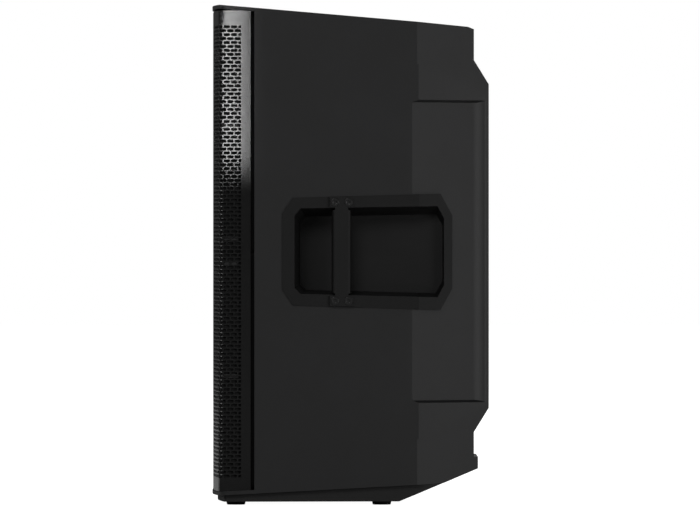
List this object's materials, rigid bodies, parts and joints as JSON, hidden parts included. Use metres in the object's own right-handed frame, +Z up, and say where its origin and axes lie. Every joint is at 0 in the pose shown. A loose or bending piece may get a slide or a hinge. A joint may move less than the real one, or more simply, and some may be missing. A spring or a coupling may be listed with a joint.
{
  "type": "line array loudspeaker",
  "caption": "Portable powered cabinet with a tall perforated front, a hinged array of small drivers before a woofer, recessed bar handles at the sides and a connector panel behind.",
  "frame": {"origin": "on the floor, midway across the width and the depth of the cabinet", "axes": "+Z up, -Y out of the grille (front), +X to the side that is on the right when seen from behind the grille, looking along +Y"},
  "size_m": [0.334, 0.37, 0.665],
  "materials": {
    "cabinet": "fine-grained moulded polypropylene",
    "base": "moulded polypropylene",
    "socket_cup": "glass-filled nylon",
    "foot_rubber": "matt rubber",
    "handle_plastic": "fine-grained moulded plastic",
    "black_screw": "blackened steel",
    "baffle_board": "black-stained plywood",
    "port_plastic": "moulded plastic",
    "basket_metal": "black enamelled cast frame",
    "magnet": "ferrite",
    "coil_former": "copper wound on a former",
    "spider_cloth": "corrugated woven cloth",
    "cone_paper": "pulp paper",
    "surround_rubber": "soft rubber",
    "carrier_plastic": "moulded plastic",
    "steel_pin": "turned steel",
    "grille_steel": "satin black powder coat",
    "driver_frame": "black pressed steel",
    "driver_cone": "coated paper",
    "panel_aluminium": "black anodised aluminium",
    "circuit_board": "solder-masked glass fibre",
    "connector_plastic": "moulded nylon",
    "socket_metal": "plated brass",
    "lens": "tinted light guides",
    "switch_metal": "pressed steel",
    "knob_plastic": "soft-touch plastic"
  },
  "bodies": {
    "cabinet": {"cabinet_shell": "cabinet", "base_plinth": "base", "pole_socket": "socket_cup", "rubber_feet": "foot_rubber", "handle_tray_left": "handle_plastic", "handle_tray_right": "handle_plastic", "handle_bar_left": "handle_plastic", "handle_bar_right": "handle_plastic", "handle_screws": "black_screw", "woofer_baffle": "baffle_board", "port_tubes": "port_plastic", "woofer_basket": "basket_metal", "woofer_magnet": "magnet", "woofer_voice_coil": "coil_former", "woofer_spider": "spider_cloth", "woofer_cone": "cone_paper", "woofer_surround": "surround_rubber", "woofer_dust_cap": "cone_paper", "woofer_screws": "black_screw", "array_cross_bar": "carrier_plastic", "hinge_pins": "steel_pin", "amp_panel": "panel_aluminium", "heat_sink": "panel_aluminium", "amp_board": "circuit_board", "power_supply_board": "circuit_board", "input_board": "circuit_board", "ac_inlet": "connector_plastic", "input_jacks": "connector_plastic", "output_jack": "connector_plastic", "line_sockets": "socket_metal", "panel_screws": "black_screw", "led_lenses": "lens", "rocker_frame": "connector_plastic", "switch_bodies": "switch_metal"},
    "upper_array": {"upper_carrier": "carrier_plastic", "upper_grille": "grille_steel", "array_driver_1": "driver_frame", "array_driver_2": "driver_frame", "array_driver_3": "driver_frame", "array_driver_4": "driver_frame", "upper_array_cones": "driver_cone", "upper_array_screws": "black_screw"},
    "lower_array": {"lower_carrier": "carrier_plastic", "lower_grille": "grille_steel", "array_driver_5": "driver_frame", "array_driver_6": "driver_frame", "array_driver_7": "driver_frame", "array_driver_8": "driver_frame", "lower_array_cones": "driver_cone", "lower_array_screws": "black_screw"},
    "level_knob_1": {"level_knob_1": "knob_plastic"},
    "level_knob_2": {"level_knob_2": "knob_plastic"},
    "power_rocker": {"power_rocker": "knob_plastic"},
    "source_switch": {"source_switch": "knob_plastic"},
    "tone_switch": {"tone_switch": "knob_plastic"},
    "jack_latch_1": {"jack_latch_1": "switch_metal"},
    "jack_latch_2": {"jack_latch_2": "switch_metal"}
  },
  "joints": [
    {"name": "upper_array_tilt", "type": "hinge", "parent": "cabinet", "child": "upper_array", "pos_m": [0, -0.16, 0.3376], "axis": [-1, 0, 0], "range_deg": [0, 7]},
    {"name": "lower_array_tilt", "type": "hinge", "parent": "cabinet", "child": "lower_array", "pos_m": [0, -0.16, 0.3376], "axis": [1, 0, 0], "range_deg": [0, 7]},
    {"name": "level_knob_1_turn", "type": "hinge", "parent": "cabinet", "child": "level_knob_1", "pos_m": [0.034, 0.16, 0.311], "axis": [0, 1, 0], "range_deg": [-150, 150]},
    {"name": "level_knob_2_turn", "type": "hinge", "parent": "cabinet", "child": "level_knob_2", "pos_m": [-0.034, 0.16, 0.311], "axis": [0, 1, 0], "range_deg": [-150, 150]},
    {"name": "power_rocker_tilt", "type": "hinge", "parent": "cabinet", "child": "power_rocker", "pos_m": [-0.038, 0.162, 0.179], "axis": [1, 0, 0], "range_deg": [0, 14]},
    {"name": "source_switch_slide", "type": "slide", "parent": "cabinet", "child": "source_switch", "axis": [-1, 0, 0], "range_m": [0, 0.005]},
    {"name": "tone_switch_slide", "type": "slide", "parent": "cabinet", "child": "tone_switch", "axis": [-1, 0, 0], "range_m": [0, 0.005]},
    {"name": "jack_latch_1_press", "type": "slide", "parent": "cabinet", "child": "jack_latch_1", "axis": [0, -1, 0], "range_m": [0, 0.002], "stiffness_N_per_m": 400},
    {"name": "jack_latch_2_press", "type": "slide", "parent": "cabinet", "child": "jack_latch_2", "axis": [0, -1, 0], "range_m": [0, 0.002], "stiffness_N_per_m": 400}
  ]
}
